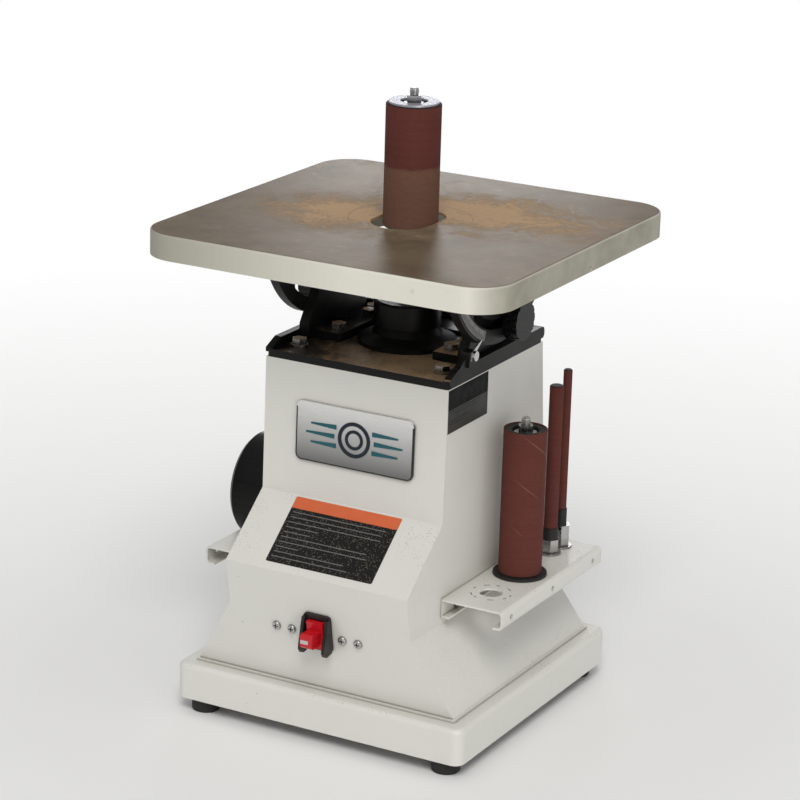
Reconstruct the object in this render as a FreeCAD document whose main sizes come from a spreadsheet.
"""Benchtop oscillating spindle sander: a parametric assembly of separate pieces.

Frame: origin on the spindle axis at bench level, X to the operator's right,
Y to the rear, Z up, millimetres.
"""
import FreeCAD
import Part
import math
import os
import re
import Sketcher

DOC = FreeCAD.newDocument("SpindleSander")
SHEET = DOC.addObject("Spreadsheet::Sheet", "Dims")

DIMS = [
    # table
    ("table_half", 184.15, "half the side of the square table"),
    ("table_top", 472.0, "working surface above the bench"),
    ("table_skirt", 24.0, "depth of the table rim"),
    ("table_plate", 8.0, "thickness of the table plate"),
    ("table_rim", 8.0, "thickness of the rim"),
    ("table_corner", 38.0, "plan radius of the table corners"),
    ("rib_depth", 12.0, "depth of the ribs under the plate"),
    ("rib_width", 6.0, "thickness of the ribs"),
    ("table_hole", 51.0, "radius of the opening in the table"),
    ("insert_rad", 58.0, "radius of the recess for the insert"),
    ("insert_thick", 3.0, "thickness of the insert"),
    ("slot_half", 28.5, "half width of the oblong opening in the insert"),
    ("slot_front", 18.0, "front centre of the oblong opening"),
    ("slot_back", 10.0, "rear centre of the oblong opening"),
    # base and cabinet
    ("base_half", 153.0, "half width of the base pan"),
    ("base_front", 158.0, "front of the base pan"),
    ("base_back", 148.0, "rear of the base pan"),
    ("base_low", 14.0, "underside of the base pan, height of the feet"),
    ("base_high", 49.0, "top of the base pan"),
    ("base_lip", 51.7, "seat of the cabinet"),
    ("base_wall", 4.0, "wall of the base pan"),
    ("foot_x", 130.0, "feet, sideways"),
    ("foot_front", 140.0, "front feet"),
    ("foot_back", 130.0, "rear feet"),
    ("foot_rad", 13.5, "radius of a foot at the top"),
    ("cab_half", 96.0, "half width of the column"),
    ("cab_top", 346.0, "top of the column"),
    ("sheet_thick", 1.6, "cabinet sheet"),
    ("front_top", 95.5, "column front at the top"),
    ("front_knee", 98.3, "column front at the top of the sloped panel"),
    ("knee_z", 218.3, "top of the sloped panel"),
    ("nose_y", 161.8, "foremost fold"),
    ("nose_z", 165.3, "height of the foremost fold"),
    ("fold_front", 153.7, "front at the side fold"),
    ("fold_back", 116.2, "rear at the side fold"),
    ("fold_z", 121.0, "height where the sides begin to flare"),
    ("back_top", 93.7, "rear of the column at the top"),
    ("skirt_half", 136.6, "half width at the foot of the cabinet"),
    ("skirt_front", 141.1, "front at the foot of the cabinet"),
    ("skirt_back", 131.0, "rear at the foot of the cabinet"),
    # top plate and trunnions
    ("plate_top", 353.3, "upper face of the cast top plate"),
    ("rail_in", 90.0, "inner face of the side rails"),
    ("rail_out", 97.0, "outer face of the side rails"),
    ("rail_top", 361.5, "top of the side rails"),
    ("rail_front", 95.0, "front end of the rails"),
    ("rail_back", 94.5, "rear end of the rails"),
    ("post_top", 374.0, "top of the pointer post"),
    ("bolt_x", 75.5, "corner bolts, sideways"),
    ("bolt_y", 70.0, "corner bolts, fore and aft"),
    ("bracket_in", 79.0, "inner face of the trunnion bracket"),
    ("bracket_thick", 10.0, "thickness of the bracket web"),
    ("bracket_foot", 49.0, "inner end of the bracket foot"),
    ("foot_top", 361.3, "top of the bracket foot"),
    ("bracket_bolt_x", 60.0, "bracket bolts, sideways"),
    ("segment_in", 89.5, "inner face of the moving segment"),
    ("segment_thick", 9.0, "thickness of the moving segment"),
    ("segment_rad", 103.0, "radius of the segment about the tilt axis"),
    ("slot_rad", 84.5, "radius of the lock slot"),
    ("slot_wide", 4.5, "half width of the lock slot"),
    ("stud_y", 13.2, "lock stud behind the tilt axis"),
    ("stud_z", 388.54, "height of the lock stud"),
    ("stud_rad", 4.0, "radius of the lock stud"),
    ("scale_in", 91.0, "inner radius of the tilt scale"),
    ("scale_out", 100.0, "outer radius of the tilt scale"),
    ("knob_rad", 19.0, "radius of a lock knob"),
    ("knob_in", 101.6, "inner face of a lock knob"),
    ("knob_thick", 15.0, "thickness of a lock knob"),
    # spindle and drum
    ("shaft_rad", 8.0, "spindle radius"),
    ("arbor_rad", 6.5, "arbor radius inside the drum"),
    ("stroke_half", 12.7, "half of the spindle stroke"),
    ("drum_low", 466.0, "bottom of the drum"),
    ("drum_high", 580.0, "top of the abrasive sleeve"),
    ("sleeve_rad", 25.9, "outer radius of the abrasive sleeve"),
    ("sleeve_thick", 1.0, "thickness of the abrasive sleeve"),
    ("play", 0.05, "radial running clearance"),
    # drive
    ("motor_z", 182.0, "height of the motor axis"),
    ("motor_rad", 47.0, "radius of the motor frame"),
    ("cowl_rad", 51.0, "radius of the fan cowl"),
    ("cowl_end", 164.0, "outer end of the fan cowl"),
    ("gear_heel", 25.0, "outer pitch radius of the bevel gears"),
    ("gear_toe", 17.0, "inner pitch radius of the bevel gears"),
    ("gear_teeth", 24.0, "teeth of each bevel gear"),
    ("drive_rad", 13.0, "outer radius of the drive sleeve"),
    ("worm_pitch", 3.14159, "axial pitch of the worm"),
    ("worm_rad", 15.0, "pitch radius of the worm"),
    ("worm_z", 270.0, "height of the worm and wheel"),
    ("wheel_rad", 29.0, "pitch radius of the worm wheel"),
    ("wheel_teeth", 58.0, "teeth of the worm wheel"),
    ("crank_rad", 12.7, "throw of the crank pin"),
    ("bearing_rad", 19.0, "outer radius of the sleeve bearings"),
    # racks
    ("rack_out", 160.0, "outer face of a rack"),
    ("rack_top", 145.4, "top of a rack"),
    ("rack_low", 127.4, "bottom of a rack"),
    ("rack_front", 96.0, "front end of a rack"),
    ("rack_back", 112.0, "rear end of a rack"),
    ("rack_thick", 2.0, "rack sheet"),
    ("rack_bend", 4.5, "outer radius of the folds of a rack"),
    ("spare_x", 125.0, "spare spindles, sideways"),
    ("spare_low", 112.0, "lower ends of the spare spindles"),
    # switch
    ("switch_y", 151.27, "panel in front of the spindle axis at the switch screws"),
    ("switch_z", 107.5, "height of the switch screws"),
    ("rocker_y", 151.9, "panel in front of the spindle axis at the rocker"),
    ("rocker_z", 110.94, "height of the rocker pivot"),
    ("panel_lean", 10.33, "lean of the lower front panel"),
    ("cord_rad", 3.4, "radius of the mains cord"),
    ("coil_rad", 46.0, "radius of the hung coil"),
    ("coil_pitch", 7.4, "run of the coil for each turn"),
    ("coil_z", 215.0, "height of the middle of the coil"),
    ("cord_x", 64.0, "cord entry, sideways"),
    ("cord_drop", 64.0, "cord entry below the middle of the coil"),
    ("switch_half", 14.0, "half width of the switch bezel"),
    ("cheek", 3.2, "thickness of the guards beside the paddle"),
    ("key_half", 6.3, "half width of the safety key"),
    ("badge_x", 2.0, "centre of the badge, sideways"),
    ("badge_z", 282.5, "height of the badge"),
]
VALUE = {}


def fill_sheet():
    """Writes every driving dimension as text and names its cell."""
    for row, (alias, value, note) in enumerate(DIMS, 1):
        SHEET.set("A%d" % row, note)
        SHEET.set("B%d" % row, str(value))
        SHEET.setAlias("B%d" % row, alias)
        VALUE[alias] = value
    DOC.recompute()


def bound(text):
    """Turns dimension names in an expression into references to the sheet."""
    def swap(match):
        word = match.group(0)
        return "Dims." + word if word in VALUE else word
    return re.sub(r"[a-z_]+", swap, str(text))


def origin_feature(body, role):
    for feature in body.Origin.OriginFeatures:
        if feature.Role == role:
            return feature
    raise ValueError(role)


def new_body(label):
    body = DOC.addObject("PartDesign::Body", label)
    body.Label = label
    body.AllowCompound = True
    return body


def place(obj, base=(0, 0, 0), lean=None):
    """Places an object: base as expressions, lean as degrees about X."""
    if lean is not None:
        turn = FreeCAD.Rotation(FreeCAD.Vector(1, 0, 0), lean)
        obj.Placement = FreeCAD.Placement(FreeCAD.Vector(), turn)
    for axis, text in zip("xyz", base):
        obj.setExpression("Placement.Base." + axis, bound(text))
    return obj


def new_sketch(body, role, offset="0"):
    sketch = body.newObject("Sketcher::SketchObject", body.Name + "_sketch")
    sketch.AttachmentSupport = (origin_feature(body, role), [""])
    sketch.MapMode = "FlatFace"
    sketch.setExpression("AttachmentOffset.Base.z", bound(offset))
    return sketch


def pin(sketch, kind, name, text, *refs):
    index = sketch.addConstraint(Sketcher.Constraint(kind, *refs))
    sketch.renameConstraint(index, name)
    sketch.setExpression("Constraints." + name, bound(text))


def polygon(sketch, points):
    """A closed polygon whose every corner is dimensioned from the origin."""
    count = len(points)
    first = sketch.GeometryCount
    for k in range(count):
        a = 2 * math.pi * k / count
        b = 2 * math.pi * (k + 1) / count
        start = FreeCAD.Vector(10 * math.cos(a), 10 * math.sin(a), 0)
        end = FreeCAD.Vector(10 * math.cos(b), 10 * math.sin(b), 0)
        sketch.addGeometry(Part.LineSegment(start, end), False)
    for k in range(count):
        follow = first + (k + 1) % count
        sketch.addConstraint(Sketcher.Constraint("Coincident", first + k, 2, follow, 1))
    for k, (along, up) in enumerate(points):
        tag = "p%d_" % (first + k)
        pin(sketch, "DistanceX", tag + "a", along, -1, 1, first + k, 1, 1.0 + k)
        pin(sketch, "DistanceY", tag + "b", up, -1, 1, first + k, 1, 1.0 + k)


def rectangle(sketch, left, right, low, high):
    polygon(sketch, [(left, low), (right, low), (right, high), (left, high)])


def circle(sketch, along, up, radius):
    first = sketch.GeometryCount
    shape = Part.Circle(FreeCAD.Vector(1, 1, 0), FreeCAD.Vector(0, 0, 1), 5)
    sketch.addGeometry(shape, False)
    tag = "c%d_" % first
    pin(sketch, "DistanceX", tag + "a", along, -1, 1, first, 3, 1.0)
    pin(sketch, "DistanceY", tag + "b", up, -1, 1, first, 3, 1.0)
    pin(sketch, "Radius", tag + "r", radius, first, 5.0)


def hexagon(sketch, along, up, radius):
    corners = []
    for k in range(6):
        angle = math.radians(60 * k)
        corners.append(("%s + %s * %.5f" % (along, radius, math.cos(angle)),
                        "%s + %s * %.5f" % (up, radius, math.sin(angle))))
    polygon(sketch, corners)


def feature(body, kind, sketch):
    item = body.newObject("PartDesign::" + kind, body.Name + "_" + kind.lower())
    item.Profile = sketch
    return item


def pad(body, sketch, length, back=False):
    item = feature(body, "Pad", sketch)
    item.setExpression("Length", bound(length))
    item.Reversed = back
    DOC.recompute()
    return item


def pocket(body, sketch, length, back=False):
    """A pocket, checked to take something away."""
    before = body.Shape.Volume
    item = feature(body, "Pocket", sketch)
    item.setExpression("Length", bound(length))
    item.Reversed = back
    DOC.recompute()
    if body.Shape.Volume > before - 0.01:
        raise ValueError("empty pocket in " + body.Label)
    return item


def turned(label, profile, axis="V_Axis", base=None):
    """A turned piece: profile pairs are (radius, height), or (x, radius) about X."""
    body = new_body(label)
    sketch = new_sketch(body, "XZ_Plane")
    polygon(sketch, profile)
    item = feature(body, "Revolution", sketch)
    item.ReferenceAxis = (sketch, [axis])
    item.Angle = 360
    DOC.recompute()
    if base:
        place(body, base)
    return body


def block(label, left, right, front, rear, low, high):
    body = new_body(label)
    sketch = new_sketch(body, "XY_Plane", low)
    rectangle(sketch, left, right, front, rear)
    pad(body, sketch, "(%s) - (%s)" % (high, low))
    return body


def edges_where(item, test):
    names = []
    for index, edge in enumerate(item.Shape.Edges, 1):
        if test(edge):
            names.append("Edge%d" % index)
    return names


def upright(edge):
    box = edge.BoundBox
    return box.XLength < 0.01 and box.YLength < 0.01 and box.ZLength > 0.1


def level_at(height):
    def test(edge):
        box = edge.BoundBox
        return abs(box.ZMin - height) < 0.01 and abs(box.ZMax - height) < 0.01
    return test


def rounded(body, test, radius, kind="Fillet"):
    base = body.Tip
    names = edges_where(base, test)
    item = body.newObject("PartDesign::" + kind, body.Name + "_" + kind.lower())
    item.Base = (base, names)
    item.setExpression("Radius" if kind == "Fillet" else "Size", bound(radius))
    DOC.recompute()
    return item


def solid(kind, label, base=(0, 0, 0), axis=None, **sizes):
    """A Part primitive with its sizes and place bound to the sheet."""
    item = DOC.addObject("Part::" + kind, label)
    turns = {"x": (FreeCAD.Vector(0, 1, 0), 90), "y": (FreeCAD.Vector(1, 0, 0), -90)}
    if axis:
        item.Placement = FreeCAD.Placement(FreeCAD.Vector(), FreeCAD.Rotation(*turns[axis]))
    for name, text in sizes.items():
        item.setExpression(name, bound(text))
    for name, text in zip("xyz", base):
        item.setExpression("Placement.Base." + name, bound(text))
    return item


def box(label, left, right, front, rear, low, high):
    return solid("Box", label, (left, front, low), Length="(%s)-(%s)" % (right, left),
                 Width="(%s)-(%s)" % (rear, front), Height="(%s)-(%s)" % (high, low))


def joined(label, items):
    item = DOC.addObject("Part::MultiFuse", label)
    item.Shapes = items
    item.Label = label
    return item


def cut(label, base, tools):
    tool = tools[0] if len(tools) == 1 else joined(label + "_tools", tools)
    item = DOC.addObject("Part::Cut", label)
    item.Base = base
    item.Tool = tool
    item.Label = label
    return item


PARTS = []


def keep(item):
    PARTS.append(item)
    return item


def hex_bolts(label, spots, head, head_up, shank, low, high):
    """Identical upright bolts: hexagonal heads from high to head_up, shanks from low to high."""
    body = new_body(label)
    sketch = new_sketch(body, "XY_Plane", high)
    for along, across in spots:
        hexagon(sketch, along, across, head)
    pad(body, sketch, "(%s)-(%s)" % (head_up, high))
    sketch = new_sketch(body, "XY_Plane", low)
    for along, across in spots:
        circle(sketch, along, across, shank)
    pad(body, sketch, "(%s)-(%s)" % (high, low))
    return keep(body)


# ---------------------------------------------------------------- base and cabinet

def make_base():
    body = block("base_pan", "-base_half", "base_half", "-base_front", "base_back",
                 "base_low", "base_high")
    rounded(body, upright, "10")
    rounded(body, level_at(VALUE["base_high"]), "5")
    sketch = new_sketch(body, "XY_Plane", "base_high")
    rectangle(sketch, "-skirt_half - 2", "skirt_half + 2", "-skirt_front - 2", "skirt_back + 2")
    pad(body, sketch, "base_lip - base_high")
    sketch = new_sketch(body, "XY_Plane", "base_lip")
    rectangle(sketch, "-skirt_half + 8", "skirt_half - 8", "-skirt_front + 6", "skirt_back - 6")
    pad(body, sketch, "6")
    sketch = new_sketch(body, "XY_Plane", "base_low")
    rectangle(sketch, "-base_half + base_wall", "base_half - base_wall",
              "-base_front + base_wall", "base_back - base_wall")
    pocket(body, sketch, "base_high - base_low - base_wall", True)
    sketch = new_sketch(body, "XY_Plane", "base_lip + 6")
    rectangle(sketch, "-skirt_half + 22", "skirt_half - 22", "-skirt_front + 22", "skirt_back - 22")
    pocket(body, sketch, "20")
    sketch = new_sketch(body, "XY_Plane", "base_low")
    spots = foot_spots()
    for along, across in spots:
        circle(sketch, along, across, "11")
    pad(body, sketch, "base_high - base_low - 2")
    sketch = new_sketch(body, "XY_Plane", "base_low")
    for along, across in spots:
        circle(sketch, along, across, "5")
    pocket(body, sketch, "20", True)
    keep(body)


def foot_spots():
    return [("foot_x", "-foot_front"), ("-foot_x", "-foot_front"),
            ("foot_x", "foot_back"), ("-foot_x", "foot_back")]


def make_feet():
    """Push-in rubber feet: a pad with a stem in the boss of the pan."""
    body = new_body("rubber_feet")
    sketch = new_sketch(body, "XY_Plane")
    for along, across in foot_spots():
        circle(sketch, along, across, "foot_rad")
    pad(body, sketch, "base_low")
    rounded(body, level_at(0.0), "2")
    sketch = new_sketch(body, "XY_Plane", "base_low")
    for along, across in foot_spots():
        circle(sketch, along, across, "4.9")
    pad(body, sketch, "16")
    keep(body)


def cabinet_profile(inset):
    """Side view of the column and the nose, drawn inset by a sheet's thickness or by nothing."""
    rows = [("-front_top + %s", "cab_top + 0 * %s"),
            ("-front_knee + %s", "knee_z - 0.47 * %s"),
            ("-nose_y + 1.088 * %s", "nose_z - 0.395 * %s"),
            ("-fold_front + %s", "fold_z + 0 * %s"),
            ("fold_back - %s", "fold_z + 0 * %s"),
            ("back_top - %s", "cab_top + 0 * %s")]
    return [(along % inset, up % inset) for along, up in rows]


def flare(body, inset, kind):
    lower = new_sketch(body, "XY_Plane", "base_lip")
    rectangle(lower, "-skirt_half + " + inset, "skirt_half - " + inset,
              "-skirt_front + " + inset, "skirt_back - " + inset)
    upper = new_sketch(body, "XY_Plane", "fold_z")
    rectangle(upper, "-cab_half + " + inset, "cab_half - " + inset,
              "-fold_front + " + inset, "fold_back - " + inset)
    item = feature(body, kind, lower)
    item.Sections = [upper]
    item.Ruled = True
    DOC.recompute()


def make_cabinet():
    body = new_body("cabinet_shell")
    sketch = new_sketch(body, "YZ_Plane", "-cab_half")
    polygon(sketch, cabinet_profile("0"))
    pad(body, sketch, "2 * cab_half")
    flare(body, "0", "AdditiveLoft")
    sketch = new_sketch(body, "YZ_Plane", "-cab_half + sheet_thick")
    polygon(sketch, cabinet_profile("sheet_thick"))
    pocket(body, sketch, "2 * (cab_half - sheet_thick)", True)
    flare(body, "sheet_thick", "SubtractiveLoft")
    top_flanges(body)
    cabinet_openings(body)
    keep(body)


def top_flanges(body):
    """Inward flanges that carry the top plate, with its bolt holes."""
    sketch = new_sketch(body, "XY_Plane", "cab_top - 2 * sheet_thick")
    for side in ("-1", "1"):
        rectangle(sketch, side + " * (cab_half - sheet_thick / 2)", side + " * (cab_half - 32)",
                  "-front_top + 2", "back_top - 2")
    pad(body, sketch, "2 * sheet_thick")
    sketch = new_sketch(body, "XY_Plane", "cab_top")
    for along, across in bolt_spots():
        circle(sketch, along, across, "4.3")
    pocket(body, sketch, "10")


def cabinet_openings(body):
    # opening for the motor
    sketch = new_sketch(body, "YZ_Plane", "-cab_half - 5")
    circle(sketch, "0", "motor_z", "motor_rad + 2")
    pocket(body, sketch, "10", True)
    # opening and screw holes for the switch
    sketch = new_sketch(body, "XZ_Plane", "fold_front + 20")
    rectangle(sketch, "-13", "13", "rocker_z - 16.5", "rocker_z + 17.8")
    for along in switch_screw_spots():
        circle(sketch, along, "switch_z", "2.2")
    pocket(body, sketch, "50")
    # screw holes of the racks, through both sides
    sketch = new_sketch(body, "YZ_Plane", "-cab_half - 5")
    for across in ("-70", "80"):
        circle(sketch, across, "136", "2.5")
    pocket(body, sketch, "2 * cab_half + 10", True)
    # rear opening
    sketch = new_sketch(body, "XZ_Plane", "-fold_back - 20")
    rectangle(sketch, "-72", "72", "140", "322")
    for along, up in REAR_SCREWS:
        circle(sketch, str(along), str(up), "1.6")
    pocket(body, sketch, "50", True)


def switch_screw_spots():
    return ["-29.5", "24.5", "-46", "41"]


def rear_y(height, out):
    """Expression for a point on the rear panel at a height, moved outwards."""
    run = "(fold_back - (fold_back - back_top) * (%s - fold_z) / (cab_top - fold_z))" % height
    return "%s + %s" % (run, out)


REAR_SCREWS = [(along, up) for along in (-77, 77) for up in (136, 230, 324)]


def make_rear_cover():
    """Flat louvred cover over the opening in the rear of the column, and its screws."""
    body = new_body("rear_cover")
    sketch = new_sketch(body, "YZ_Plane", "-82")
    polygon(sketch, [(rear_y("130", "0.05"), "130"), (rear_y("330", "0.05"), "330"),
                     (rear_y("330", "2.05"), "330"), (rear_y("130", "2.05"), "130")])
    pad(body, sketch, "164")
    sketch = new_sketch(body, "XZ_Plane", "-fold_back - 20")
    for row in range(6):
        height = 150 + 12 * row
        rectangle(sketch, "-45", "45", str(height), str(height + 4))
    for along, up in REAR_SCREWS:
        circle(sketch, str(along), str(up), "1.8")
    circle(sketch, "-cord_x", "coil_z - cord_drop", "cord_rad + 2")
    pocket(body, sketch, "60", True)
    # hook of the cord
    sketch = new_sketch(body, "YZ_Plane", "-7")
    polygon(sketch, [(rear_y("249", "1"), "249"), ("135.5", "249"), ("135.5", "264"), ("132.5", "264"),
                     ("132.5", "256"), (rear_y("256", "1"), "256")])
    pad(body, sketch, "14")
    keep(body)
    items = []
    for along, up in REAR_SCREWS:
        seat = rear_y(str(up), "2.45")
        head = solid("Cylinder", "rear_head", (str(along), seat, str(up)), "y",
                     Radius="3.6", Height="2.2")
        shank = solid("Cylinder", "rear_shank", (str(along), seat + " - 6", str(up)), "y",
                      Radius="1.5", Height="7")
        items.append(joined("rear_screw", [head, shank]))
    group(items, "rear_cover_screws")


def group(items, label):
    """Identical fasteners kept together as one piece of several solids."""
    bundle = DOC.addObject("Part::Compound", label)
    bundle.Links = items
    bundle.Label = label
    keep(bundle)


# ---------------------------------------------------------------- top plate

def bolt_spots():
    return [("bolt_x", "-bolt_y"), ("-bolt_x", "-bolt_y"), ("bolt_x", "bolt_y"), ("-bolt_x", "bolt_y")]


def make_rail(body, side):
    """Side rail with a sloped front end and a wide, rounded rear end."""
    sketch = new_sketch(body, "YZ_Plane", "rail_in" if side > 0 else "-rail_out")
    low = "plate_top - 3"
    polygon(sketch, [("-rail_front", low), ("rail_back - 6", low), ("rail_back - 6", "rail_top"),
                     ("-rail_front + 16", "rail_top"), ("-rail_front", "plate_top + 1")])
    pad(body, sketch, "rail_out - rail_in")
    sketch = new_sketch(body, "YZ_Plane", "rail_in - 6" if side > 0 else "-rail_out")
    polygon(sketch, [("rail_back - 12", low), ("rail_back - 2", low), ("rail_back", "plate_top"),
                     ("rail_back", "rail_top - 4"), ("rail_back - 1.2", "rail_top - 1.2"),
                     ("rail_back - 4", "rail_top"), ("rail_back - 12", "rail_top")])
    pad(body, sketch, "rail_out - rail_in + 6")


def make_pointer_post(body):
    """Post of the tilt pointer on the right-hand rail, with a ramp up to it from the front."""
    sketch = new_sketch(body, "XY_Plane", "rail_top - 2")
    rectangle(sketch, "rail_in + 1", "99.4", "-63", "-51")
    pad(body, sketch, "post_top - rail_top + 2")
    sketch = new_sketch(body, "YZ_Plane", "rail_in + 1")
    polygon(sketch, [("-rail_front + 8", "plate_top + 2"), ("-60", "plate_top + 2"),
                     ("-60", "post_top - 1")])
    pad(body, sketch, "rail_out - rail_in - 1")
    sketch = new_sketch(body, "YZ_Plane", "110")
    circle(sketch, "-57", "370", "1.6")
    pocket(body, sketch, "20")


def make_top_plate():
    body = block("top_plate", "-cab_half", "cab_half", "-front_top", "back_top", "cab_top", "plate_top")
    rounded(body, upright, "5")
    for side in (1, -1):
        make_rail(body, side)
    make_pointer_post(body)
    sketch = new_sketch(body, "XY_Plane", "plate_top")
    circle(sketch, "0", "0", "20")
    for along, across in bolt_spots():
        circle(sketch, along, across, "4.3")
    for along, across in bracket_spots():
        circle(sketch, along, across, "4.1")
    pocket(body, sketch, "20")
    keep(body)
    hex_bolts("top_plate_bolts", bolt_spots(), "7.5", "360.5", "4", "336", "355.1")
    washer = new_body("top_plate_washers")
    sketch = new_sketch(washer, "XY_Plane", "plate_top")
    for along, across in bolt_spots():
        circle(sketch, along, across, "8.4")
        circle(sketch, along, across, "4.2")
    pad(washer, sketch, "1.8")
    keep(washer)


def bracket_spots():
    spots = []
    for side in ("", "-"):
        spots += [(side + "bracket_bolt_x", "-24"), (side + "bracket_bolt_x", "34")]
    return spots


def make_bracket(label, side):
    """Fixed half of a trunnion: a foot on the top plate and an upright web."""
    body = new_body(label)
    low = "%d * (bracket_in + bracket_thick / 2) - bracket_thick / 2" % side
    sketch = new_sketch(body, "YZ_Plane", low)
    polygon(sketch, [("-48", "plate_top"), ("60", "plate_top"), ("60", "388"), ("50", "398"),
                     ("-28", "398"), ("-48", "368")])
    pad(body, sketch, "bracket_thick")
    sketch = new_sketch(body, "XY_Plane", "plate_top")
    rectangle(sketch, "%d * bracket_foot" % side, "%d * (bracket_in + 2)" % side, "-40", "50")
    pad(body, sketch, "foot_top - plate_top")
    sketch = new_sketch(body, "YZ_Plane", "%d * 68 - 1" % side if side > 0 else "-82")
    rectangle(sketch, "-2", "10", "foot_top - 2", "foot_top + 3")
    pad(body, sketch, "15")
    sketch = new_sketch(body, "YZ_Plane", "%d * 110" % side)
    circle(sketch, "stud_y", "stud_z", "stud_rad + play")
    pocket(body, sketch, "60", side < 0)
    sketch = new_sketch(body, "XY_Plane", "foot_top + 30")
    for across in ("-24", "34"):
        circle(sketch, "%d * bracket_bolt_x" % side, across, "4.1")
    pocket(body, sketch, "60")
    keep(body)


# ---------------------------------------------------------------- tilting table

def ring_sector(label, low, thick, inner, outer, start, sweep):
    """A band about the tilt axis, from start degrees forward of straight down."""
    tall = solid("Cylinder", label + "_outer", Radius=outer, Height=thick, Angle=str(sweep))
    bore = solid("Cylinder", label + "_inner", Radius=inner, Height=thick, Angle=str(sweep))
    band = cut(label + "_band", tall, [bore])
    # the band opens rearwards from its foremost end; local Z becomes +X
    turn = FreeCAD.Rotation(FreeCAD.Vector(0, 0, -1), FreeCAD.Vector(0, 1, 0),
                            FreeCAD.Vector(1, 0, 0), "ZXY")
    spin = FreeCAD.Rotation(FreeCAD.Vector(1, 0, 0), -(start + sweep))
    band.Placement = FreeCAD.Placement(FreeCAD.Vector(), spin * turn)
    band.setExpression("Placement.Base.x", bound(low))
    band.setExpression("Placement.Base.z", bound("table_top"))
    return band


def make_segment(label, side):
    """Moving half of a trunnion: a half disc about the tilt axis with a lock slot."""
    low = "segment_in" if side > 0 else "-segment_in - segment_thick"
    disc = solid("Cylinder", label + "_disc", (low, "0", "table_top"), "x",
                 Radius="segment_rad", Height="segment_thick")
    above = box(label + "_above", low + " - 1", low + " + segment_thick + 1", "-130", "130",
                "table_top - table_plate - 0.05", "table_top + 130")
    window = solid("Cylinder", label + "_window", (low + " - 1", "0", "table_top"), "x",
                   Radius="68", Height="segment_thick + 2")
    keeper = box(label + "_keeper", low + " - 2", low + " + segment_thick + 2", "-130", "130",
                 "table_top - table_plate - 18", "table_top + 200")
    hole = cut(label + "_hole", window, [keeper])
    slot = ring_sector(label + "_slot", low + " - 1", "segment_thick + 2",
                       "slot_rad - slot_wide", "slot_rad + slot_wide", -27, 65)
    ends = [slot_end(label, low, -27), slot_end(label, low, 38)]
    plate = cut(label + "_plate", disc, [above, hole, slot] + ends)
    ledge = box(label + "_ledge", "segment_in - 16" if side > 0 else "-segment_in - 1",
                "segment_in + 1" if side > 0 else "-segment_in + 16", "-60", "60",
                "table_top - 17", "table_top - table_plate - 0.05")
    drills = []
    for across in ("-45", "45"):
        drills.append(solid("Cylinder", label + "_drill",
                            ("%d * (segment_in - 8)" % side, across, "table_top - 30"),
                            Radius="3.2", Height="40"))
    whole = joined(label + "_whole", [plate, ledge])
    keep(cut(label, whole, drills))


def slot_end(label, low, degrees):
    angle = math.radians(degrees)
    return solid("Cylinder", label + "_end",
                 (low + " - 1", "-slot_rad * %.6f" % math.sin(angle),
                  "table_top - slot_rad * %.6f" % math.cos(angle)), "x",
                 Radius="slot_wide", Height="segment_thick + 2")


def make_table():
    body = block("table", "-table_half", "table_half", "-table_half", "table_half",
                 "table_top - table_skirt", "table_top")
    rounded(body, upright, "table_corner")
    rounded(body, level_at(VALUE["table_top"]), "2.5")
    hollow(body)
    sketch = new_sketch(body, "XY_Plane", "table_top")
    circle(sketch, "0", "0", "insert_rad")
    pocket(body, sketch, "insert_thick")
    sketch = new_sketch(body, "XY_Plane", "table_top")
    circle(sketch, "0", "0", "table_hole")
    pocket(body, sketch, "table_skirt + 5")
    sketch = new_sketch(body, "YZ_Plane", "table_half + 5")
    circle(sketch, "4", "table_top - 20.5", "2.2")
    pocket(body, sketch, "10")
    sketch = new_sketch(body, "XY_Plane", "table_top - table_skirt - 5")
    for side in ("", "-"):
        for across in ("-45", "45"):
            circle(sketch, side + "(segment_in - 8)", across, "3.05")
    pocket(body, sketch, "5 + table_skirt - table_plate + 5", True)
    keep(body)


def hollow(body):
    """Hollow underside with a ring round the opening and shallow ribs."""
    sketch = new_sketch(body, "XY_Plane", "table_top - table_skirt")
    wide = "(table_half - table_rim)"
    short = "(table_half - table_rim - 26)"
    quarter = [(short, wide), (wide, short)]
    outline = [(along, "-" + up) for along, up in quarter]
    outline += [(along, up) for along, up in reversed(quarter)]
    outline += [("-" + along, up) for along, up in quarter]
    outline += [("-" + along, "-" + up) for along, up in reversed(quarter)]
    polygon(sketch, outline)
    pocket(body, sketch, "table_skirt - table_plate", True)
    low = "table_top - table_plate - rib_depth"
    sketch = new_sketch(body, "XY_Plane", low)
    circle(sketch, "0", "0", "66")
    circle(sketch, "0", "0", "table_hole - 1")
    pad(body, sketch, "rib_depth + 1")
    for side in ("-1", "1"):
        sketch = new_sketch(body, "XY_Plane", low)
        rectangle(sketch, "-62", "62", side + " * 90 - rib_width / 2",
                  side + " * 90 + rib_width / 2")
        pad(body, sketch, "rib_depth + 1")
        sketch = new_sketch(body, "XY_Plane", low)
        rectangle(sketch, side + " * 60 - rib_width / 2", side + " * 60 + rib_width / 2",
                  "-91", "91")
        pad(body, sketch, "rib_depth + 1")


def make_insert():
    body = new_body("table_insert")
    sketch = new_sketch(body, "XY_Plane", "table_top - insert_thick")
    circle(sketch, "0", "0", "insert_rad - 0.2")
    pad(body, sketch, "insert_thick - 0.1")
    for centre in ("-slot_front", "slot_back"):
        sketch = new_sketch(body, "XY_Plane", "table_top + 1")
        circle(sketch, "0", centre, "slot_half")
        pocket(body, sketch, "10")
    sketch = new_sketch(body, "XY_Plane", "table_top + 1")
    rectangle(sketch, "-slot_half", "slot_half", "-slot_front", "slot_back")
    pocket(body, sketch, "10")
    keep(body)


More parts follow.
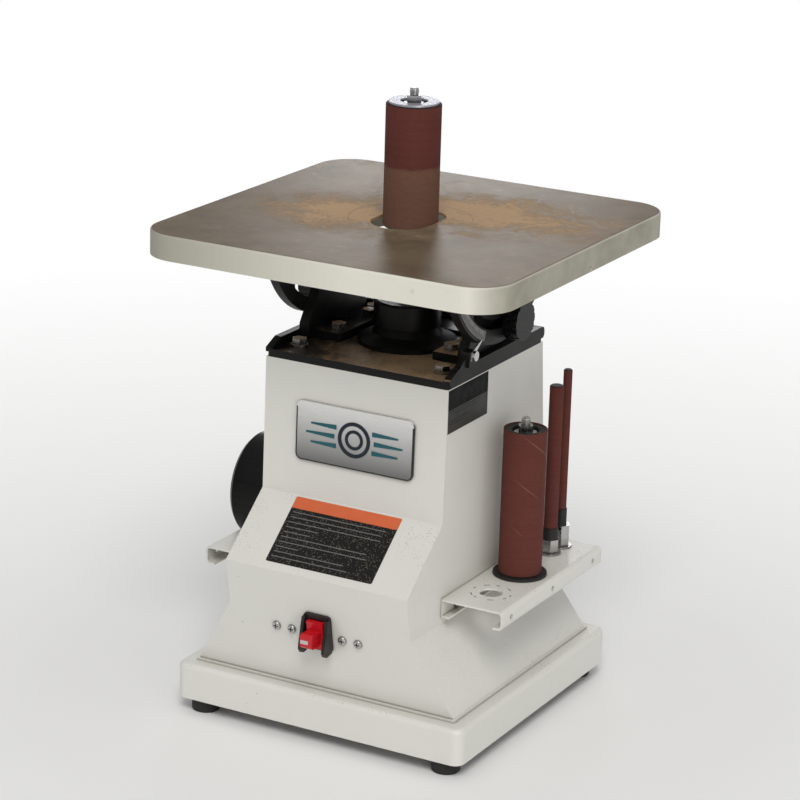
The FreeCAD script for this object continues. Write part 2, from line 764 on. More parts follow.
def make_knob(label, side):
    """Studded lock knob with twelve shallow flutes; the stud runs through to the bracket."""
    near = "knob_in" if side > 0 else "-knob_in - knob_thick"
    grip = solid("Cylinder", label + "_grip", (near, "stud_y", "stud_z"), "x",
                 Radius="knob_rad", Height="knob_thick")
    scallops = []
    for k in range(12):
        angle = math.radians(30 * k + 15)
        scallops.append(solid("Cylinder", label + "_scallop",
                              (near + " - 1", "stud_y + (knob_rad + 2.2) * %.6f" % math.cos(angle),
                               "stud_z + (knob_rad + 2.2) * %.6f" % math.sin(angle)), "x",
                              Radius="3", Height="knob_thick + 2"))
    shaped = cut(label + "_shaped", grip, scallops)
    collar_low = "segment_in + segment_thick + 1.1" if side > 0 else "-knob_in - 1"
    collar = solid("Cylinder", label + "_collar", (collar_low, "stud_y", "stud_z"), "x",
                   Radius="8", Height="knob_in - segment_in - segment_thick - 0.1")
    stud = solid("Cylinder", label + "_stud",
                 ("bracket_in - 4" if side > 0 else "-knob_in - 2", "stud_y", "stud_z"), "x",
                 Radius="stud_rad", Height="knob_in - bracket_in + 6")
    keep(joined(label, [shaped, collar, stud]))


def make_scale():
    band = ring_sector("tilt_scale", "segment_in + segment_thick", "0.8",
                       "scale_in", "scale_out", 20.5, 51)
    band.Label = "tilt_scale"
    keep(band)


def make_pointer():
    """Flat bright pointer on the post of the right-hand rail."""
    body = new_body("tilt_pointer")
    sketch = new_sketch(body, "YZ_Plane", "99.45")
    polygon(sketch, [("-62", "366"), ("-53", "366"), ("-52.5", "372"), ("-41.6", "380.2"),
                     ("-42.2", "381.4"), ("-55", "376"), ("-61", "374")])
    pad(body, sketch, "1")
    sketch = new_sketch(body, "YZ_Plane", "110")
    circle(sketch, "-57", "370", "2.2")
    pocket(body, sketch, "20")
    keep(body)
    head = solid("Cylinder", "pointer_head", ("100.5", "-57", "370"), "x", Radius="4.6", Height="3")
    shank = solid("Cylinder", "pointer_shank", ("92.5", "-57", "370"), "x", Radius="1.5", Height="9")
    keep(joined("pointer_screw", [head, shank]))


def make_segment_bolts():
    items = []
    for side in (1, -1):
        for across in ("-45", "45"):
            spot = ("%d * (segment_in - 8)" % side, across)
            head = solid("Prism", "segment_head", spot + ("table_top - 21.1",),
                         Circumradius="5.6", Height="4")
            shank = solid("Cylinder", "segment_shank", spot + ("table_top - 18",),
                          Radius="3", Height="14")
            items.append(joined("segment_bolt", [head, shank]))
    group(items, "segment_bolts")


# ---------------------------------------------------------------- spindle

def make_housing():
    keep(turned("spindle_housing",
                [("14", "plate_top"), ("47", "plate_top"), ("47", "plate_top + 4"),
                 ("33", "plate_top + 10"), ("29", "plate_top + 17.5"),
                 ("32", "plate_top + 18"), ("32", "393"), ("30", "395"),
                 ("shaft_rad + play", "395"), ("shaft_rad + play", "plate_top + 14"),
                 ("14", "plate_top + 12")]))


def make_spindle():
    body = turned("spindle_shaft",
                  [("0", "108"), ("shaft_rad - 1", "108"), ("shaft_rad", "109"), ("shaft_rad", "458"),
                   ("12", "461"), ("12", "drum_low - 1.5"), ("arbor_rad", "drum_low - 1.5"),
                   ("arbor_rad", "drum_high - 2"), ("stud_rad", "drum_high - 2"), ("stud_rad", "594"),
                   ("stud_rad - 1", "595"), ("0", "595")])
    sketch = new_sketch(body, "XY_Plane", "246")
    rectangle(sketch, "5.5", "9", "-2", "2")
    pocket(body, sketch, "72", True)
    keep(body)
    make_drum()


def make_drum():
    """Rubber drum and abrasive sleeve between two discs, held by a washer and nut."""
    core = "sleeve_rad - sleeve_thick"
    keep(turned("rubber_drum",
                [("arbor_rad + play", "drum_low"), (core, "drum_low"), (core, "drum_high + 1"),
                 ("14", "drum_high + 1"), ("14", "drum_high - 2"),
                 ("arbor_rad + play", "drum_high - 2")]))
    keep(turned("sanding_sleeve",
                [(core, "drum_low + 0.5"), ("sleeve_rad", "drum_low + 0.5"),
                 ("sleeve_rad", "drum_high"), (core, "drum_high")]))
    keep(turned("drum_top_disc",
                [("stud_rad + 0.1", "drum_high - 2"), ("13.8", "drum_high - 2"),
                 ("13.8", "drum_high + 1"), ("23.6", "drum_high + 1"), ("23.6", "drum_high + 3"),
                 ("13", "drum_high + 3"), ("12", "drum_high"), ("stud_rad + 0.1", "drum_high")]))
    keep(turned("drum_bottom_disc",
                [("arbor_rad + play", "drum_low - 1.5"), ("24.5", "drum_low - 1.5"),
                 ("24.5", "drum_low"), ("arbor_rad + play", "drum_low")]))
    body = new_body("spindle_nut")
    sketch = new_sketch(body, "XY_Plane", "drum_high")
    circle(sketch, "0", "0", "9")
    circle(sketch, "0", "0", "stud_rad + play")
    pad(body, sketch, "1.6")
    sketch = new_sketch(body, "XY_Plane", "drum_high + 1.6")
    hexagon(sketch, "0", "0", "7.5")
    circle(sketch, "0", "0", "stud_rad + play")
    pad(body, sketch, "6.8")
    keep(body)


# ---------------------------------------------------------------- drive

def bevel(label):
    """Bevel gear with its axis on Z and its apex at the origin of the body."""
    body = new_body(label)
    sketch = new_sketch(body, "XZ_Plane")
    bore = "drive_rad + play" if label == "bevel_gear" else "7.05"
    hub = "17" if label == "bevel_gear" else "12"
    polygon(sketch, [(bore, "gear_toe + 2.2"), ("gear_toe - 0.3", "gear_toe + 2.2"),
                     ("gear_heel - 0.3", "gear_heel + 3.2"), ("gear_heel - 4", "gear_heel + 6.9"),
                     (hub, "gear_heel + 6.9"), (hub, "gear_heel + 11"), (bore, "gear_heel + 11")])
    item = feature(body, "Revolution", sketch)
    item.ReferenceAxis = (sketch, ["V_Axis"])
    item.Angle = 360
    DOC.recompute()
    low = new_sketch(body, "YZ_Plane", "gear_toe")
    tooth_section(low, "gear_toe")
    high = new_sketch(body, "YZ_Plane", "gear_heel")
    tooth_section(high, "gear_heel")
    tooth = feature(body, "AdditiveLoft", low)
    tooth.Sections = [high]
    tooth.Ruled = True
    DOC.recompute()
    pattern = body.newObject("PartDesign::PolarPattern", label + "_teeth")
    pattern.Originals = [tooth]
    pattern.Axis = (origin_feature(body, "Z_Axis"), [""])
    pattern.Angle = 360
    pattern.setExpression("Occurrences", bound("gear_teeth"))
    body.Tip = pattern
    DOC.recompute()
    return keep(body)


def tooth_section(sketch, radius):
    """Tooth outline across the radius; its size shrinks towards the apex."""
    module = "(2 * %s / gear_teeth)" % radius
    polygon(sketch, [("-0.95 * " + module, radius + " + 1.9 * " + module),
                     ("-0.32 * " + module, radius + " - 1.2 * " + module),
                     ("0.32 * " + module, radius + " - 1.2 * " + module),
                     ("0.95 * " + module, radius + " + 1.9 * " + module)])


def make_gears():
    gear = bevel("bevel_gear")
    half = FreeCAD.Rotation(FreeCAD.Vector(0, 0, 1), 180.0 / VALUE["gear_teeth"])
    gear.Placement = FreeCAD.Placement(FreeCAD.Vector(), half)
    gear.setExpression("Placement.Base.z", bound("motor_z"))
    pinion = bevel("bevel_pinion")
    pinion.Placement = FreeCAD.Placement(FreeCAD.Vector(), FreeCAD.Rotation(FreeCAD.Vector(0, 1, 0), -90))
    pinion.setExpression("Placement.Base.z", bound("motor_z"))


def make_drive_sleeve():
    body = turned("drive_sleeve", [("shaft_rad + play", "200"), ("drive_rad", "200"),
                                   ("drive_rad", "340"), ("shaft_rad + play", "340")])
    # key moulded in the bore, running in the keyway of the spindle
    sketch = new_sketch(body, "XY_Plane", "264")
    rectangle(sketch, "5.7", "drive_rad - 3", "-1.9", "1.9")
    pad(body, sketch, "36")
    keep(body)
    body = new_body("sleeve_bearings")
    for low in ("222", "318"):
        sketch = new_sketch(body, "XY_Plane", low)
        circle(sketch, "0", "0", "bearing_rad")
        circle(sketch, "0", "0", "drive_rad + play")
        pad(body, sketch, "12")
    keep(body)


def make_worm():
    body = turned("worm", [("drive_rad + play", "worm_z - 16"), ("worm_rad - 1.2", "worm_z - 16"),
                           ("worm_rad - 1.2", "worm_z + 16"), ("drive_rad + play", "worm_z + 16")])
    sketch = new_sketch(body, "XZ_Plane")
    start = "(worm_z - 4 * worm_pitch + worm_pitch * 0.25)"
    polygon(sketch, [("worm_rad - 1.4", start + " - 0.95"), ("worm_rad + 1", start + " - 0.28"),
                     ("worm_rad + 1", start + " + 0.28"), ("worm_rad - 1.4", start + " + 0.95")])
    thread = feature(body, "AdditiveHelix", sketch)
    thread.ReferenceAxis = (sketch, ["V_Axis"])
    thread.Mode = 0
    thread.setExpression("Pitch", bound("worm_pitch"))
    thread.setExpression("Height", bound("8 * worm_pitch"))
    DOC.recompute()
    keep(body)


def make_worm_wheel():
    """Worm wheel about X with the crank pin at its mid-stroke position."""
    body = new_body("worm_wheel")
    sketch = new_sketch(body, "YZ_Plane", "-6")
    circle(sketch, "0", "0", "wheel_rad - 1.2")
    circle(sketch, "0", "0", "6 + play")
    pad(body, sketch, "12")
    sketch = new_sketch(body, "YZ_Plane", "-6")
    polygon(sketch, [("-wheel_rad + 1.5", "-0.95"), ("-wheel_rad + 1.5", "0.95"),
                     ("-wheel_rad - 0.95", "0.28"), ("-wheel_rad - 0.95", "-0.28")])
    tooth = pad(body, sketch, "12")
    pattern = body.newObject("PartDesign::PolarPattern", "worm_wheel_teeth")
    pattern.Originals = [tooth]
    pattern.Axis = (origin_feature(body, "X_Axis"), [""])
    pattern.Angle = 360
    pattern.setExpression("Occurrences", bound("wheel_teeth"))
    body.Tip = pattern
    DOC.recompute()
    sketch = new_sketch(body, "YZ_Plane", "-14")
    circle(sketch, "0", "0", "11")
    circle(sketch, "0", "0", "6 + play")
    pad(body, sketch, "9")
    sketch = new_sketch(body, "YZ_Plane", "5")
    circle(sketch, "crank_rad", "0", "4")
    pad(body, sketch, "13")
    place(body, ("0", "worm_rad + wheel_rad", "worm_z"))
    keep(body)
    axis = ("worm_rad + wheel_rad", "worm_z")
    shaft = solid("Cylinder", "axle_shank", ("-36",) + axis, "x", Radius="6", Height="43")
    cap = solid("Cylinder", "axle_cap", ("6.2",) + axis, "x", Radius="7.5", Height="2")
    keep(joined("wheel_axle", [shaft, cap]))


def make_yoke():
    """Yoke frame round the crank pin, leg, and the arm that carries the spindle's lower bearing."""
    body = new_body("scotch_yoke")
    sketch = new_sketch(body, "YZ_Plane", "9.5")
    rectangle(sketch, "27", "69", "worm_z - 25", "worm_z + 25")
    rectangle(sketch, "worm_rad + wheel_rad - 4.9", "worm_rad + wheel_rad + 18.2",
              "worm_z - 17.6", "worm_z + 17.6")
    pad(body, sketch, "5")
    sketch = new_sketch(body, "YZ_Plane", "9.5")
    rectangle(sketch, "30", "44", "112", "worm_z - 24")
    pad(body, sketch, "5")
    sketch = new_sketch(body, "XY_Plane", "112")
    rectangle(sketch, "-9", "14.5", "-42", "44")
    pad(body, sketch, "14")
    sketch = new_sketch(body, "XY_Plane", "112")
    circle(sketch, "0", "0", "21")
    pad(body, sketch, "14")
    sketch = new_sketch(body, "XY_Plane", "100")
    circle(sketch, "0", "0", "15")
    circle(sketch, "0", "-33", "6 + play")
    pocket(body, sketch, "60", True)
    keep(body)
    body = new_body("carrier_bearing")
    sketch = new_sketch(body, "XY_Plane", "114")
    circle(sketch, "0", "0", "15")
    circle(sketch, "0", "0", "shaft_rad + play")
    pad(body, sketch, "10")
    keep(body)
    body = new_body("guide_post")
    sketch = new_sketch(body, "XY_Plane", "94")
    circle(sketch, "0", "-33", "6")
    pad(body, sketch, "71")
    keep(body)


def make_gearbox():
    """Hanging casting that holds the sleeve bearings, the wheel axle, the guide post and the motor."""
    flange = box("gb_flange", "-58", "58", "-56", "78", "338", "cab_top")
    front = box("gb_front", "-50", "40", "-46", "-39", "150", "339")
    upper = solid("Cylinder", "gb_upper", ("0", "0", "314"), Radius="25", Height="25")
    lower = solid("Cylinder", "gb_lower", ("0", "0", "220"), Radius="25", Height="16")
    web_up = box("gb_web_up", "-14", "14", "-40", "-16", "314", "339")
    web_low = box("gb_web_low", "-14", "14", "-40", "-16", "220", "236")
    motor = box("gb_motor", "-50", "-42", "-46", "42", "134", "339")
    side = box("gb_side", "-36", "-28", "30", "58", "250", "339")
    lug = box("gb_lug", "-11", "11", "-46", "-25.5", "150", "165")
    mass = joined("gb_mass", [flange, front, upper, lower, web_up, web_low, motor, side, lug])
    tools = [solid("Cylinder", "gb_bore_up", ("0", "0", "318"), Radius="bearing_rad", Height="12"),
             solid("Cylinder", "gb_bore_low", ("0", "0", "222"), Radius="bearing_rad", Height="12"),
             solid("Cylinder", "gb_clear", ("0", "0", "210"), Radius="15", Height="150"),
             solid("Cylinder", "gb_pinion", ("-60", "0", "motor_z"), "x", Radius="29", Height="30"),
             solid("Cylinder", "gb_axle", ("-40", "worm_rad + wheel_rad", "worm_z"), "x",
                   Radius="6", Height="20"),
             solid("Cylinder", "gb_post", ("0", "-33", "140"), Radius="6", Height="40"),
             box("gb_relief", "-60", "-40", "-30", "50", "236", "330")]
    keep(cut("gearbox_frame", mass, tools))


def make_motor():
    axis = ("0", "0", "motor_z")
    keep(turned("motor_frame",
                [("-50", "30"), ("-50", "motor_rad - 3"), ("-53", "motor_rad"), ("-131.9", "motor_rad"),
                 ("-131.9", "7.05"), ("-124", "7.05"), ("-124", "31"), ("-60", "31"), ("-60", "7.05"),
                 ("-53", "7.05"), ("-53", "30")], "H_Axis", axis))
    body = turned("fan_cover",
                  [("-126", "motor_rad + 0.05"), ("-126", "cowl_rad"), ("-cowl_end + 4", "cowl_rad"),
                   ("-cowl_end", "cowl_rad - 4"), ("-cowl_end", "0"), ("-cowl_end + 2", "0"),
                   ("-cowl_end + 2", "cowl_rad - 5"), ("-cowl_end + 5", "cowl_rad - 2"),
                   ("-130", "cowl_rad - 2"), ("-130", "motor_rad + 0.05")], "H_Axis", axis)
    sketch = new_sketch(body, "YZ_Plane", "-cowl_end - 1")
    rectangle(sketch, "-1.6", "1.6", "16", "40")
    vent = pocket(body, sketch, "5", True)
    pattern = body.newObject("PartDesign::PolarPattern", "fan_cover_vents")
    pattern.Originals = [vent]
    pattern.Axis = (origin_feature(body, "X_Axis"), [""])
    pattern.Angle = 360
    pattern.Occurrences = 16
    body.Tip = pattern
    DOC.recompute()
    keep(body)
    keep(turned("motor_rotor",
                [("-158", "0"), ("-158", "7"), ("-120", "7"), ("-120", "30"), ("-64", "30"), ("-64", "7"),
                 ("-16", "7"), ("-16", "0")], "H_Axis", axis))
    make_fan()


def make_fan():
    axis = ("0", "0", "motor_z")
    body = turned("cooling_fan",
                  [("-156", "7.05"), ("-156", "13"), ("-142", "13"), ("-140", "38"), ("-138", "38"),
                   ("-138", "7.05")], "H_Axis", axis)
    sketch = new_sketch(body, "YZ_Plane", "-156")
    polygon(sketch, [("-1", "11"), ("1", "11"), ("1", "38"), ("-1", "38")])
    blade = pad(body, sketch, "17")
    pattern = body.newObject("PartDesign::PolarPattern", "cooling_fan_blades")
    pattern.Originals = [blade]
    pattern.Axis = (origin_feature(body, "X_Axis"), [""])
    pattern.Angle = 360
    pattern.Occurrences = 8
    body.Tip = pattern
    DOC.recompute()
    keep(body)


# ---------------------------------------------------------------- racks and spare spindles

RACK_HOLES = [("spare_x + 2", "-55.6", "11"), ("spare_x + 1", "4", "8.8"),
              ("spare_x", "69", "8.8"), ("spare_x", "92", "8.8")]


def fold(side, along, up):
    """Picks the long edge of a rack that runs fore and aft at a place in its section."""
    def test(edge):
        box = edge.BoundBox
        level = abs(box.ZMin - up) < 0.01 and abs(box.ZMax - up) < 0.01
        return box.YLength > 100 and level and abs(box.XMin - side * along) < 0.01
    return test


def make_rack(label, side):
    """Folded channel along one side of the cabinet, with inward lips."""
    body = new_body(label)
    sketch = new_sketch(body, "XZ_Plane", "-rack_back")
    near = "cab_half + 0.02"
    under = "rack_top - rack_thick"
    lip = "rack_low + rack_thick"
    rows = [(near, "rack_low"), (near + " + 9", "rack_low"), (near + " + 9", lip),
            (near + " + rack_thick", lip), (near + " + rack_thick", under),
            ("rack_out - rack_thick", under), ("rack_out - rack_thick", lip), ("rack_out - 10", lip),
            ("rack_out - 10", "rack_low"), ("rack_out", "rack_low"), ("rack_out", "rack_top"),
            (near, "rack_top")]
    polygon(sketch, [("%d * (%s)" % (side, along), up) for along, up in rows])
    pad(body, sketch, "rack_back + rack_front")
    outer = VALUE["rack_out"]
    inner = outer - VALUE["rack_thick"]
    for height, inwards in ((VALUE["rack_top"], -1), (VALUE["rack_low"], 1)):
        rounded(body, fold(side, outer, height), "rack_bend")
        level = height + inwards * VALUE["rack_thick"]
        rounded(body, fold(side, inner, level), "rack_bend - rack_thick")
    sketch = new_sketch(body, "XY_Plane", "rack_top + 5")
    for along, across, radius in RACK_HOLES:
        circle(sketch, "%d * %s" % (side, along), across, radius)
    pocket(body, sketch, "12")
    sketch = new_sketch(body, "YZ_Plane", "%d * (rack_out + 5)" % side)
    for across in ("-78", "7", "93"):
        if side > 0 or across != "7":
            circle(sketch, across, "136", "2.9")
    pocket(body, sketch, "12", side < 0)
    sketch = new_sketch(body, "YZ_Plane", "%d * (cab_half - 5)" % side)
    for across in ("-70", "80"):
        circle(sketch, across, "136", "2.6")
    pocket(body, sketch, "12", side > 0)
    if side < 0:
        sketch = new_sketch(body, "YZ_Plane", "-rack_out - 5")
        circle(sketch, "0", "motor_z", "cowl_rad + 1")
        pocket(body, sketch, "80", True)
        sketch = new_sketch(body, "YZ_Plane", "-rack_out - 5")
        rectangle(sketch, "-33", "33", "rack_low - 1", "rack_top + 1")
        pocket(body, sketch, "60", True)
    keep(body)


def make_rack_screws():
    items = []
    for side in (1, -1):
        for across in ("-70", "80"):
            seat = "%d * (cab_half + rack_thick + 0.1) %s" % (side, "" if side > 0 else "- 2.6")
            head = solid("Cylinder", "rack_head", (seat, across, "136"), "x", Radius="5", Height="2.6")
            start = "cab_half + 0.1" if side > 0 else "-cab_half - rack_thick - 1"
            shank = solid("Cylinder", "rack_shank", (start, across, "136"), "x",
                          Radius="2.4", Height="rack_thick + 0.9")
            items.append(joined("rack_screw", [head, shank]))
    group(items, "rack_screws")


def make_spares():
    spot = ("spare_x + 1", "4", "0")
    body = turned("spare_drum_shaft",
                  [("0", "spare_low"), ("shaft_rad - 1", "spare_low"), ("shaft_rad", "spare_low + 1"),
                   ("shaft_rad", "rack_top"), ("25.5", "rack_top"), ("25.5", "148"), ("5", "148"),
                   ("5", "284"), ("10.5", "284"), ("10.5", "286"), ("stud_rad", "286"),
                   ("stud_rad", "299"), ("stud_rad - 1", "300"), ("0", "300")])
    sketch = new_sketch(body, "XY_Plane", "285.5")
    hexagon(sketch, "0", "0", "7.6")
    pad(body, sketch, "7")
    keep(place(body, spot))
    keep(turned("spare_drum",
                [("5.05", "148"), ("19.5", "148"), ("19.5", "288"), ("13", "288"), ("13", "283.9"),
                 ("5.05", "283.9")], base=spot))
    keep(turned("spare_drum_sleeve",
                [("19.5", "149"), ("20.5", "149"), ("20.5", "289"), ("19.5", "289")], base=spot))
    small_spindle("half_spindle", "half_sleeve", "69", "160", "172", "5.6", "6.75", "314")
    small_spindle("quarter_spindle", "quarter_sleeve", "92", "168", "184", "3.2", "4.25", "324")


def small_spindle(label, sleeve, across, nut_top, step, core, skin, top):
    """Plain spindle: shank through the rack, washer, nut, hub and rod with its abrasive sleeve."""
    hub = skin + " + 0.8"
    body = turned(label,
                  [("0", "spare_low"), ("shaft_rad - 1", "spare_low"), ("shaft_rad", "spare_low + 1"),
                   ("shaft_rad", "rack_top"), ("11", "rack_top"), ("11", "rack_top + 1.8"),
                   (hub, "rack_top + 1.8"), (hub, step), (core, step), (core, top), ("0", top)])
    sketch = new_sketch(body, "XY_Plane", "rack_top + 1")
    hexagon(sketch, "0", "0", "8.8")
    pad(body, sketch, nut_top + " - rack_top - 1")
    keep(place(body, ("spare_x", across, "0")))
    keep(turned(sleeve, [(core, step + " + 0.2"), (skin, step + " + 0.2"), (skin, top + " - 1"),
                         (core, top + " - 1")], base=("spare_x", across, "0")))


# ---------------------------------------------------------------- controls and plates

def on_panel(body, spot, turn=0.0):
    """Moves a body from its own frame, -Y out of the panel, to a spot on the lower front panel."""
    lean = FreeCAD.Rotation(FreeCAD.Vector(1, 0, 0), VALUE["panel_lean"] + turn)
    body.Placement = FreeCAD.Placement(FreeCAD.Vector(), lean)
    body.setExpression("Placement.Base.y", bound("-%s_y" % spot))
    body.setExpression("Placement.Base.z", bound(spot + "_z"))


PADDLE_OFF = -8.0


def make_key():
    """Safety key: a flat tongue in the paddle's slot and a grip that stands out from it."""
    body = new_body("safety_key")
    sketch = new_sketch(body, "YZ_Plane", "-key_half")
    polygon(sketch, [("-3", "-7.4"), ("-3", "4.4"), ("-10.6", "4.4"), ("-22", "5.4"),
                     ("-24.5", "3.2"), ("-24.5", "-6.2"), ("-21.5", "-8.8"), ("-11", "-8.2"),
                     ("-11", "-7.4")])
    pad(body, sketch, "2 * key_half")
    on_panel(body, "rocker", PADDLE_OFF)
    keep(body)


def make_switch_box():
    """Bezel with a guard on each side of the paddle, and the box behind the panel."""
    body = new_body("switch_box")
    sketch = new_sketch(body, "XZ_Plane", "0.02")
    rectangle(sketch, "-switch_half", "switch_half", "-18", "19")
    pad(body, sketch, "3")
    rounded(body, lambda edge: abs(edge.BoundBox.YLength - 3) < 0.01, "3")
    for low in ("-switch_half", "switch_half - cheek"):
        sketch = new_sketch(body, "YZ_Plane", low)
        polygon(sketch, [("-2.5", "16.5"), ("-6", "16.5"), ("-16", "-8"), ("-17", "-12"),
                         ("-15.5", "-16"), ("-12", "-18"), ("-2.5", "-18")])
        pad(body, sketch, "cheek")
    sketch = new_sketch(body, "XZ_Plane", "0.02")
    rectangle(sketch, "-11.5", "11.5", "-15.5", "16.2")
    pad(body, sketch, "26", True)
    sketch = new_sketch(body, "XZ_Plane", "20")
    rectangle(sketch, "-9", "9", "-14.4", "14.4")
    pocket(body, sketch, "26")
    # bearings of the paddle's pivot
    sketch = new_sketch(body, "YZ_Plane", "-10.6")
    circle(sketch, "0", "0", "2.05")
    pocket(body, sketch, "21.2", True)
    on_panel(body, "rocker")
    keep(body)


def make_paddle():
    """Rocker with pivot pins; its lower half is slotted for the key."""
    body = new_body("switch_paddle")
    sketch = new_sketch(body, "YZ_Plane", "-8.6")
    polygon(sketch, [("2", "-9"), ("2", "9"), ("-5", "13"), ("-9.5", "12.5"), ("-7.5", "0"),
                     ("-10.5", "-12.5"), ("-5", "-13")])
    pad(body, sketch, "17.2")
    sketch = new_sketch(body, "XZ_Plane", "30")
    rectangle(sketch, "-key_half - 0.1", "key_half + 0.1", "-7.5", "4.5")
    pocket(body, sketch, "28")
    sketch = new_sketch(body, "YZ_Plane", "-10.5")
    circle(sketch, "0", "0", "2")
    pad(body, sketch, "21")
    on_panel(body, "rocker", PADDLE_OFF)
    keep(body)


def make_switch_screws():
    """Pan-head screws with cross recesses on both sides of the switch."""
    body = new_body("switch_screws")
    sketch = new_sketch(body, "XZ_Plane", "0.02")
    for along in switch_screw_spots():
        circle(sketch, along, "0", "4.2")
    pad(body, sketch, "2.4")
    rounded(body, lambda edge: abs(edge.BoundBox.YMin + 2.42) < 0.01 and edge.BoundBox.YLength < 0.01,
            "1.4")
    for wide, tall in (("2.6", "0.55"), ("0.55", "2.6")):
        sketch = new_sketch(body, "XZ_Plane", "4")
        for along in switch_screw_spots():
            rectangle(sketch, "%s - %s" % (along, wide), "%s + %s" % (along, wide), "-" + tall, tall)
        pocket(body, sketch, "3")
    sketch = new_sketch(body, "XZ_Plane", "0.02")
    for along in switch_screw_spots():
        circle(sketch, along, "0", "1.8")
    pad(body, sketch, "7", True)
    on_panel(body, "switch")
    keep(body)


def make_badge():
    body = new_body("name_badge")
    sketch = new_sketch(body, "XZ_Plane", "0.02")
    rectangle(sketch, "-62", "62", "-28.5", "28.5")
    pad(body, sketch, "2.5")
    rounded(body, lambda edge: abs(edge.BoundBox.YLength - 2.5) < 0.01, "6")
    rise = VALUE["cab_top"] - VALUE["knee_z"]
    lean = math.degrees(math.atan((VALUE["front_knee"] - VALUE["front_top"]) / rise))
    front = "-front_top - (front_knee - front_top) * (cab_top - badge_z) / (cab_top - knee_z)"
    keep(place(body, ("badge_x", front, "badge_z"), -lean))


def make_chute():
    """Dust hood on the rear of the top plate with a round hose port."""
    hood = box("chute_hood", "-36", "36", "48", "88", "plate_top", "412")
    hollow_box = box("chute_hollow", "-33", "33", "40", "85", "plate_top + 3", "409")
    pipe = solid("Cylinder", "chute_pipe", ("0", "86", "383"), "y", Radius="25.4", Height="46")
    tab_left = box("chute_tab_left", "-50", "-34", "54", "82", "plate_top", "plate_top + 4")
    tab_right = box("chute_tab_right", "34", "50", "54", "82", "plate_top", "plate_top + 4")
    bore = solid("Cylinder", "chute_bore", ("0", "80", "383"), "y", Radius="23", Height="60")
    whole = joined("chute_whole", [hood, pipe, tab_left, tab_right])
    keep(cut("dust_chute", whole, [hollow_box, bore]))


def cord_path():
    """Centre line of the cord: entry, two and a half turns on the hook, and the drop to the plug.

    X runs to the right, Y out of the rear cover and Z up it, from the middle of the coil.
    """
    entry_x = VALUE["cord_x"]
    entry_z = -VALUE["cord_drop"]
    coil = VALUE["coil_rad"]
    points = [(-entry_x, -8, entry_z), (-entry_x, 3.5, entry_z), (-entry_x + 1, 6, entry_z + 12),
              (-coil - 11, 5, -32), (-coil - 4, 4.6, -14)]
    steps = 16
    for k in range(steps * 5 // 2 + 1):
        angle = 2 * math.pi * k / steps
        points.append((-coil * math.cos(angle), 5 + VALUE["coil_pitch"] * k / steps,
                       coil * math.sin(angle)))
    out = points[-1][1] + 1.5
    points += [(coil + 0.5, out - 0.5, -18), (coil + 1, out, -38), (coil + 1, out, -58),
               (coil + 1, out, -72)]
    return [FreeCAD.Vector(*point) for point in points]


def plug_pieces(top):
    """Moulded plug hanging from a point: boot, body, two blades and the earth pin."""
    down = FreeCAD.Vector(0, 0, -1)
    pieces = [Part.makeCone(VALUE["cord_rad"] + 0.6, 8, 12, top + down * -10, down),
              Part.makeCone(8, 12.5, 12, top + down * 2, down),
              Part.makeCylinder(12.5, 12, top + down * 14, down),
              Part.makeCylinder(2.4, 17, top + FreeCAD.Vector(0, 8, -26), down)]
    for side in (-6.35, 6.35):
        corner = top + FreeCAD.Vector(side - 0.75, -7, -42)
        pieces.append(Part.makeBox(1.5, 6.3, 17, corner))
    return pieces


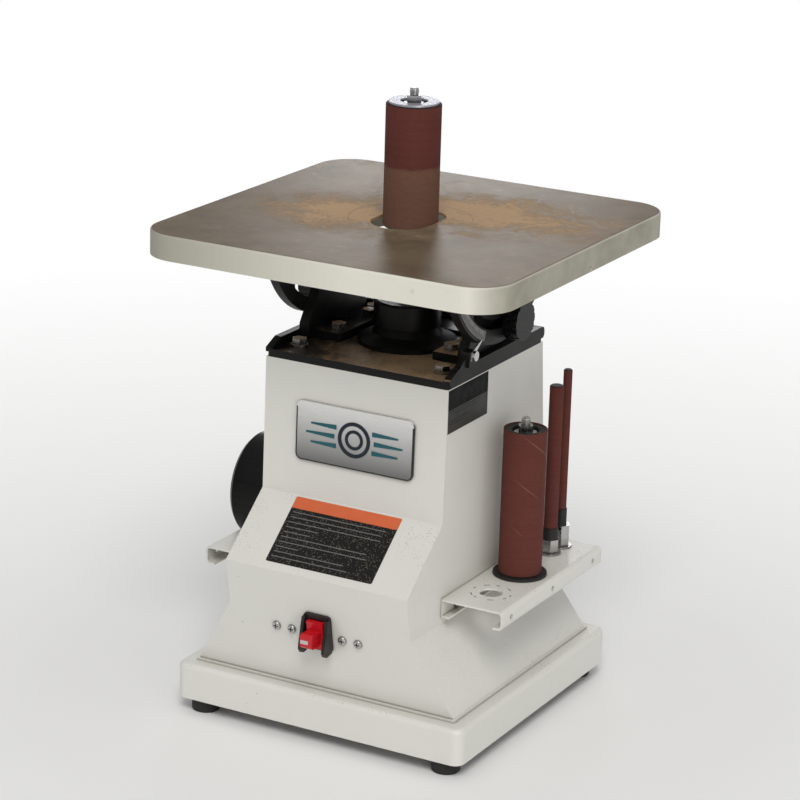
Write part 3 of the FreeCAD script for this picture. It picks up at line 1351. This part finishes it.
def make_cord():
    """Mains cord through the rear cover, coiled on the hook, with its moulded plug."""
    points = cord_path()
    curve = Part.BSplineCurve()
    curve.interpolate(points)
    path = Part.Wire([curve.toShape()])
    tangent = curve.tangent(curve.FirstParameter)[0]
    profile = Part.Wire([Part.makeCircle(VALUE["cord_rad"], points[0], tangent)])
    cord = path.makePipeShell([profile], True, True)
    seat = FreeCAD.Vector(-VALUE["cord_x"], 0.1, -VALUE["cord_drop"])
    relief = Part.makeCone(7, 5, 5, seat, FreeCAD.Vector(0, 1, 0))
    item = DOC.addObject("Part::Feature", "power_cord")
    item.Shape = cord.fuse([relief] + plug_pieces(points[-1]))
    slope = (VALUE["fold_back"] - VALUE["back_top"]) / (VALUE["cab_top"] - VALUE["fold_z"])
    surface = VALUE["fold_back"] - slope * (VALUE["coil_z"] - VALUE["fold_z"]) + 2.05
    lean = FreeCAD.Rotation(FreeCAD.Vector(1, 0, 0), math.degrees(math.atan(slope)))
    item.Placement = FreeCAD.Placement(FreeCAD.Vector(0, surface, VALUE["coil_z"]), lean)
    item.Label = "power_cord"
    keep(item)


def build_all():
    fill_sheet()
    make_base()
    make_feet()
    make_cabinet()
    make_rear_cover()
    make_top_plate()
    make_bracket("trunnion_bracket_right", 1)
    make_bracket("trunnion_bracket_left", -1)
    hex_bolts("bracket_bolts", bracket_spots(), "7.5", "367", "3.9", "346.5", "foot_top")
    make_segment("trunnion_segment_right", 1)
    make_segment("trunnion_segment_left", -1)
    make_segment_bolts()
    make_scale()
    make_pointer()
    make_knob("lock_knob_right", 1)
    make_knob("lock_knob_left", -1)
    make_table()
    make_insert()
    make_housing()
    make_spindle()
    make_gears()
    make_drive_sleeve()
    make_worm()
    make_worm_wheel()
    make_yoke()
    make_gearbox()
    make_motor()
    make_rack("rack_right", 1)
    make_rack("rack_left", -1)
    make_rack_screws()
    make_spares()
    make_switch_box()
    make_paddle()
    make_key()
    make_switch_screws()
    make_badge()
    make_chute()
    make_cord()


def write_all():
    DOC.recompute()
    for item in DOC.Objects:
        if "Invalid" in item.State or "Error" in item.State:
            raise ValueError("failed object: " + item.Label)
    for item in PARTS:
        shape = item.Shape
        if shape.isNull() or not shape.isValid():
            raise ValueError("bad shape: " + item.Label)
    os.makedirs("parts", exist_ok=True)
    for item in PARTS:
        item.Shape.exportStep("parts/%s.step" % item.Label)
        print(item.Label, len(item.Shape.Solids), round(item.Shape.Volume))


build_all()
write_all()
